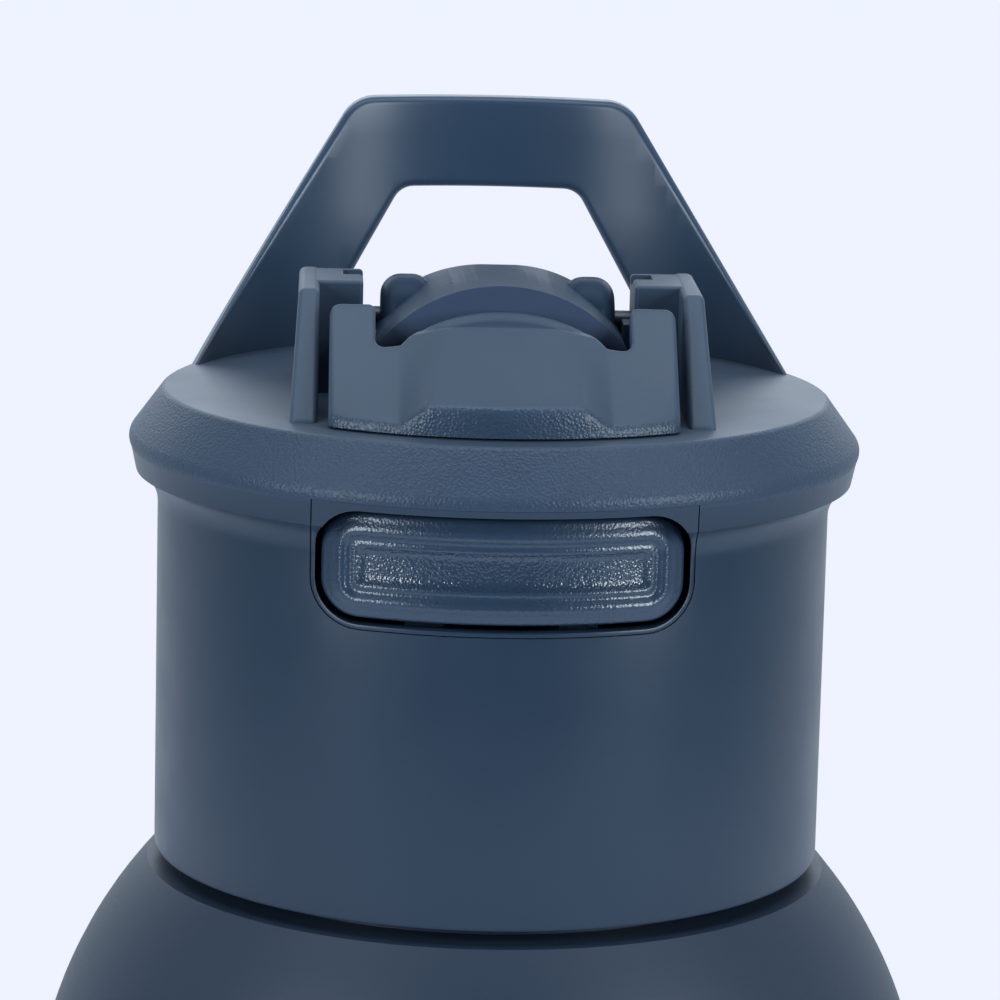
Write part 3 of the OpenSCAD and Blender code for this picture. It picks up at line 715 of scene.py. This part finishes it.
def cover_outline():
    """Plan of the cover: the arc of its lip, the cheeks, the two notches and the arch round the hood."""
    corner = 2.0
    corner_x = COVER_HALF - corner
    corner_y = -math.sqrt((LIP_R - corner) ** 2 - corner_x ** 2)
    edge = math.degrees(math.atan2(corner_y, corner_x))
    lip = arc(0, 0, LIP_R, -90, edge, 56)
    side = arc(corner_x, corner_y, corner, edge, 0, 6)[1:]
    cheek = arc(COVER_HALF - 1.3, HOOD_FRONT - 1.35, 1.3, 0, 90, 5)
    cheek += arc(17.0, HOOD_FRONT - 0.95, 0.9, 90, 180, 5)
    notch = arc(14.7, -23.0, 1.4, 0, -90, 7)
    arch_r, arch_half, crest, steps = 18.0, 13.0, -18.8, 24
    start = math.degrees(math.asin(arch_half / arch_r))
    turns = [math.radians(start * (1 - i / steps)) for i in range(steps + 1)]
    arch = [(arch_r * math.sin(a), crest - arch_r + arch_r * math.cos(a)) for a in turns]
    right = lip + side + cheek + notch + arch
    left = [(-x, y) for x, y in reversed(right[1:-1])]
    return right + left


def flip_cover():
    """Cover plate: its plan inset at the edge, sliced finely, and every point raised to the plate's form."""
    plan = cover_outline()
    start_z = DECK + 30
    cover = draw("flip_cover_plate", [place(x, y, start_z) for x, y in plan])
    bpy.ops.mesh.select_all(action="SELECT")
    bpy.ops.mesh.edge_face_add()
    for step in (0.1, 0.14, 0.2, 0.28):
        bpy.ops.mesh.inset(thickness=step * MM, depth=0, use_even_offset=True)
    slices([place(x, 0, 0) for x in spaced(-21.6, 0.6, 73)], (1, 0, 0))
    slices([place(0, y, 0) for y in spaced(-38.6, 0.5, 42)], (0, 1, 0))
    slices([place(0, y, 0) for y in (-23.7, -23.2, -24.0)], (0, 1, 0))
    for side in (-1, 1):
        slices([place(side * x, 0, 0) for x in (12.6, 13.1, 13.5)], (1, 0, 0))
        lean = Vector((15.5, side * 2.7, 0)).normalized()
        slices([place(side * x, -LIP_R, 0) for x in (9.5, 10.0, 10.5)], lean)
    bpy.ops.mesh.select_all(action="SELECT")
    bpy.ops.mesh.remove_doubles(threshold=0.01 * MM)
    bpy.ops.mesh.select_all(action="SELECT")
    bpy.ops.mesh.extrude_region_move(TRANSFORM_OT_translate={"value": (0, 0, -50 * MM)})
    done()
    edges = list(zip(plan, plan[1:] + plan[:1]))
    round_r = 0.6
    for vertex in cover.data.vertices:
        x, y, z = vertex.co.x / MM, vertex.co.y / MM, vertex.co.z / MM - LID_FOOT
        top = plate_height(x, y) + tongue_rise(x, y)
        if z > start_z - 10:
            away = min(gap_to(x, y, a, b) for a, b in edges)
            drop = round_r - math.sqrt(max(round_r ** 2 - max(round_r - away, 0) ** 2, 0))
            vertex.co.z = place(0, 0, top - drop).z
        else:
            vertex.co.z = place(0, 0, max(DECK + 0.3, plate_height(x, y) - PLATE_T)).z
    smooth(cover, 50)
    hook = box_between("catch", (-4, -34.42, DECK - 4.7), (4, -33.22, DECK + 1.2))
    barb = box_between("barb", (-4, -33.6, DECK - 4.7), (4, -32.12, DECK - 3.5))
    cut(hook, barb, "UNION")
    soften(hook, 0.2, 2)
    wear(cover, plate_skin, lip_skin)
    wear(hook, plate_skin)
    paint(cover, 1, lambda c, n: c.xy.length > LIP_R - 0.4 and c.y < -20)
    join(cover, hook)
    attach(cover, "cover")
    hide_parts("flip_cover")


def gap_to(x, y, a, b):
    """Distance of a point from one side of an outline."""
    dx, dy = b[0] - a[0], b[1] - a[1]
    length = dx * dx + dy * dy
    t = min(max(((x - a[0]) * dx + (y - a[1]) * dy) / length, 0), 1) if length else 0
    return math.hypot(x - a[0] - t * dx, y - a[1] - t * dy)


def hood_foot(shrink):
    """Height of the hood's foot, or of the hollow's, which reaches below it."""
    return DECK + 0.8 - (1.5 if shrink else 0)


def arch_line(shrink):
    """Front outline of the hood, from foot to foot over its arch."""
    half, r, low = HOOD_HALF - shrink, HOOD_R - shrink, hood_foot(shrink)
    centre = HOOD_TOP - HOOD_R
    spring = math.degrees(math.acos(half / r))
    return [(-half, low), (half, low)] + arc(0, centre, r, spring, 180 - spring, 48)


def hood_block(name, shrink):
    """Arched block of the hood, with its rear rounded about the hinge."""
    front = HOOD_FRONT + shrink
    block = outline_block(name, [place(x, front, z) for x, z in arch_line(shrink)], (0, 1, 0), 40)
    done()
    low = hood_foot(shrink)
    side = [(front - 1, low), (PIVOT[0], low)] + arc(*PIVOT, KNUCKLE_R - shrink, -90, 90, 32)
    side += [(front - 1, HOOD_TOP - shrink)]
    shape = outline_block(name + "_side", [place(-30, y, z) for y, z in side], (1, 0, 0), 60)
    done()
    return cut(block, shape, "INTERSECT")


def pin_tool(side):
    """Rod that bores the pin's hole on one side."""
    return side_rod("pin_tool", 1.55, *sorted((side * 8, side * 17)), *PIVOT, 48)


def cover_hood():
    """Glossy hood over the spout, hollow, with its two hinge knuckles."""
    hood = soften(hood_block("hood_shell", 0), 0.5, 4, 50)
    cut(hood, hood_block("hood_hollow", 2.0))
    rear = [PIVOT, (PIVOT[0] + 12.12, PIVOT[1] + 7), (PIVOT[0] + 14, DECK - 0.2), (PIVOT[0], DECK - 0.2)]
    wedge = outline_block("rear_tool", [place(-13.8, y, z) for y, z in rear], (1, 0, 0), 27.6)
    done()
    cut(hood, wedge)
    for side in (-1, 1):
        cut(hood, pin_tool(side))
    smooth(hood, 35, weigh=True)
    for side in (-1, 1):
        knuckle = side_rod("knuckle", 5.9, *sorted((side * 8.5, side * 15.3)), *PIVOT, 96)
        cut(soften(knuckle, 2.7, 8), pin_tool(side))
        smooth(knuckle, 40)
        wear(knuckle, glossy)
        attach(knuckle, "cover")
        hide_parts("cover_hood")
        knuckle.name = "hood_knuckle_right" if side > 0 else "hood_knuckle_left"
    wear(hood, glossy, hood_front_painted_light)
    # the hood's front-facing faces take the lighter copy: painted light
    paint(hood, 1, lambda c, n: n.y < -0.9 and c.y < HOOD_FRONT + 0.2)
    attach(hood, "cover")
    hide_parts("cover_hood")


# ---------------------------------------------------------------- pieces kept from the frame
def finish_frame_nodes():
    """Materials of the pieces that are shown as the frame has them."""
    looks = {"outer_shell": body_skin, "base_cup": steel, "getter_button": steel, "inner_liner": steel,
             "lid_gasket": seal_rubber, "lid_liner": inner_plastic, "latch_slide": inner_plastic,
             "button_springs": spring_steel, "cover_seal": seal_rubber, "hinge_pins": pin_steel,
             "torsion_spring": spring_steel, "spout": spout_plastic, "spout_seal": seal_rubber,
             "straw": straw_plastic, "straw_collar": seal_rubber, "vent_valve": seal_rubber}
    for name, material in looks.items():
        wear(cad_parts[name], material)


# ---------------------------------------------------------------- room
def floor():
    bpy.ops.object.select_all(action="DESELECT")
    bpy.ops.mesh.primitive_plane_add(size=1.1, location=(0, 0, 0))
    ground = bpy.context.object
    ground.name = "floor"
    material, tree, shader, at = blank("pale_floor")
    cloud = noise(tree, at, 2, 2)
    tree.links.new(tint(tree, cloud, (0.66, 0.70, 0.78), (0.68, 0.72, 0.80)), shader.inputs["Base Color"])
    shader.inputs["Roughness"].default_value = 0.9
    wear(ground, material)


def softbox(name, position, width, height, power):
    """A large soft light of daylight colour, aimed at the lid."""
    target = (0, 0, 0.24)
    light = bpy.data.lights.new(name, "AREA")
    light.shape = "RECTANGLE"
    light.size, light.size_y = width, height
    light.energy = power
    light.color = DAYLIGHT
    lamp = bpy.data.objects.new(name, light)
    bpy.context.scene.collection.objects.link(lamp)
    lamp.location = position
    lamp.rotation_euler = (Vector(target) - Vector(position)).to_track_quat("-Z", "Y").to_euler()


def sky():
    """Pale backdrop for the view; reflections see a room bright behind and above, and dim in front."""
    world = bpy.data.worlds.new("studio")
    bpy.context.scene.world = world
    world.use_nodes = True
    tree = world.node_tree
    tree.nodes.clear()
    at = tree.nodes.new("ShaderNodeTexCoord").outputs["Generated"]
    parts = tree.nodes.new("ShaderNodeSeparateXYZ")
    tree.links.new(at, parts.inputs["Vector"])
    depth = ramp(tree, parts.outputs["Y"], -0.25, 0.9, 0.03, 0.85)
    room = tree.nodes.new("ShaderNodeBackground")
    room.inputs["Color"].default_value = (0.78, 0.88, 1.0, 1)
    tree.links.new(depth, room.inputs["Strength"])
    backdrop = tree.nodes.new("ShaderNodeBackground")
    backdrop.inputs["Color"].default_value = (0.855, 0.895, 1.0, 1)
    backdrop.inputs["Strength"].default_value = 1.0
    path = tree.nodes.new("ShaderNodeLightPath")
    blend = tree.nodes.new("ShaderNodeMixShader")
    tree.links.new(path.outputs["Is Camera Ray"], blend.inputs["Fac"])
    tree.links.new(room.outputs["Background"], blend.inputs[1])
    tree.links.new(backdrop.outputs["Background"], blend.inputs[2])
    out = tree.nodes.new("ShaderNodeOutputWorld")
    tree.links.new(blend.outputs["Shader"], out.inputs["Surface"])


def camera():
    """Long lens, a little above the lid and a touch to the left, rolled slightly."""
    yaw, pitch, roll = math.radians(2.3), math.radians(10.91), math.radians(1.38)
    forward = Vector((math.sin(yaw) * math.cos(pitch), math.cos(yaw) * math.cos(pitch), -math.sin(pitch)))
    level = forward.cross(Vector((0, 0, 1))).normalized()
    upright = level.cross(forward)
    right = level * math.cos(roll) + upright * math.sin(roll)
    up = upright * math.cos(roll) - level * math.sin(roll)
    lens = bpy.data.cameras.new("camera")
    lens.lens, lens.sensor_width = 165.74, 36
    lens.clip_start, lens.clip_end = 0.01, 50
    eye = bpy.data.objects.new("camera", lens)
    bpy.context.scene.collection.objects.link(eye)
    turn = Matrix((right, up, -forward)).transposed()
    eye.matrix_world = Matrix.Translation(place(-22.94, -594.52, 161.0)) @ turn.to_4x4()
    bpy.context.scene.camera = eye


def lights():
    softbox("left_box", (-1.15, -0.95, 0.62), 0.32, 0.9, 15.0)
    softbox("right_box", (1.15, -0.95, 0.62), 0.32, 0.9, 17.0)
    softbox("top_box", (0, -0.05, 1.5), 2.0, 0.72, 11.0)
    softbox("rear_box", (0.0, 1.6, 0.9), 2.2, 0.9, 8.0)


lid_skirt()
hinge_ears()
carry_handle()
bezel()
push_button()
flip_cover()
cover_hood()
finish_frame_nodes()
floor()
sky()
lights()
camera()
bpy.context.scene.view_settings.view_transform = "Standard"
